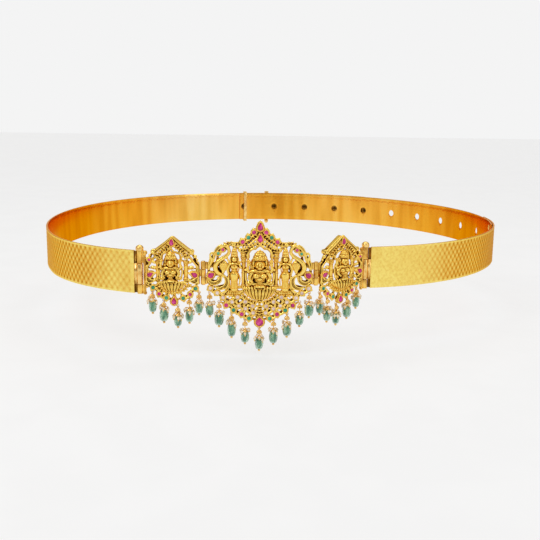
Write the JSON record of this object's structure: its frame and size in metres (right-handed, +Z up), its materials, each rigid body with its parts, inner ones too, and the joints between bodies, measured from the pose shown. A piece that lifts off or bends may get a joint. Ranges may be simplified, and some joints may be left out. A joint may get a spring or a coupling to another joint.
{
  "type": "temple-style waist belt",
  "caption": "Hinged metal waist belt with three cast, pierced and stone-set front plaques, hanging bead drops and a pierced adjusting strap at the back.",
  "frame": {"origin": "middle of the waist opening, at half the height of the band", "axes": "+Z up, -Y towards the front plaques, +X to the right as seen from the front"},
  "size_m": [0.2835, 0.2843, 0.0667],
  "materials": {
    "gold": "matte gold plate, antiqued in the recesses",
    "polished_gold": "polished gold plate with fine brushed lines",
    "ruby": "cut and polished",
    "emerald": "cut and polished",
    "white_stone": "cut and polished",
    "bead_green": "carved translucent bead"
  },
  "bodies": {
    "straps": {"left_strap": "gold", "right_strap": "gold", "holed_strap": "polished_gold", "strap_rivets": "gold", "strap_keeper": "gold", "strap_clip": "polished_gold"},
    "left_plaque": {"left_leaves": "gold", "left_gallery": "gold", "left_pear_1": "ruby", "left_pear_2": "ruby", "left_pear_3": "ruby", "left_pear_4": "ruby", "left_rubies": "ruby", "left_emeralds": "emerald", "left_drop_gold": "gold", "left_bead_1": "bead_green", "left_bead_2": "bead_green", "left_bead_3": "bead_green", "left_bead_4": "bead_green", "left_bead_5": "bead_green"},
    "centre_plaque": {"centre_leaves": "gold", "centre_gallery": "gold", "centre_pear_1": "ruby", "centre_pear_2": "ruby", "centre_pear_3": "ruby", "centre_pear_4": "ruby", "centre_pear_5": "ruby", "centre_rubies": "ruby", "centre_emeralds": "emerald", "centre_whites": "white_stone", "centre_drop_gold": "gold", "centre_bead_1": "bead_green", "centre_bead_2": "bead_green", "centre_bead_3": "bead_green", "centre_bead_4": "bead_green", "centre_bead_5": "bead_green", "centre_bead_6": "bead_green", "centre_bead_7": "bead_green", "centre_bead_8": "bead_green", "centre_bead_9": "bead_green", "inner_pin_left": "gold", "inner_pin_right": "gold"},
    "right_plaque": {"right_leaves": "gold", "right_gallery": "gold", "right_pear_1": "ruby", "right_pear_2": "ruby", "right_pear_3": "ruby", "right_pear_4": "ruby", "right_rubies": "ruby", "right_emeralds": "emerald", "right_drop_gold": "gold", "right_bead_1": "bead_green", "right_bead_2": "bead_green", "right_bead_3": "bead_green", "right_bead_4": "bead_green", "right_bead_5": "bead_green"},
    "left_draw_pin": {"left_pin": "gold"},
    "right_draw_pin": {"right_pin": "gold"}
  },
  "joints": [
    {"name": "left_hinge", "type": "hinge", "parent": "straps", "child": "left_plaque", "pos_m": [-0.06399, -0.13757, 0], "axis": [0, 0, 1], "range_deg": [-5, 5]},
    {"name": "left_inner_hinge", "type": "hinge", "parent": "left_plaque", "child": "centre_plaque", "pos_m": [-0.03239, -0.13757, 0], "axis": [0, 0, 1], "range_deg": [-8, 8]},
    {"name": "right_inner_hinge", "type": "hinge", "parent": "centre_plaque", "child": "right_plaque", "pos_m": [0.02397, -0.1356, 0], "axis": [0, 0, 1], "range_deg": [-3.4, 3.4]},
    {"name": "left_pin_draw", "type": "slide", "parent": "straps", "child": "left_draw_pin", "axis": [0, 0, 1], "range_m": [0, 0.022]},
    {"name": "right_pin_draw", "type": "slide", "parent": "straps", "child": "right_draw_pin", "axis": [0, 0, 1], "range_m": [0, 0.022]}
  ],
  "couplings": [
    {"joint": "left_inner_hinge", "follows": "left_hinge", "ratio": -1.5902},
    {"joint": "right_inner_hinge", "follows": "left_hinge", "ratio": 0.6588}
  ]
}
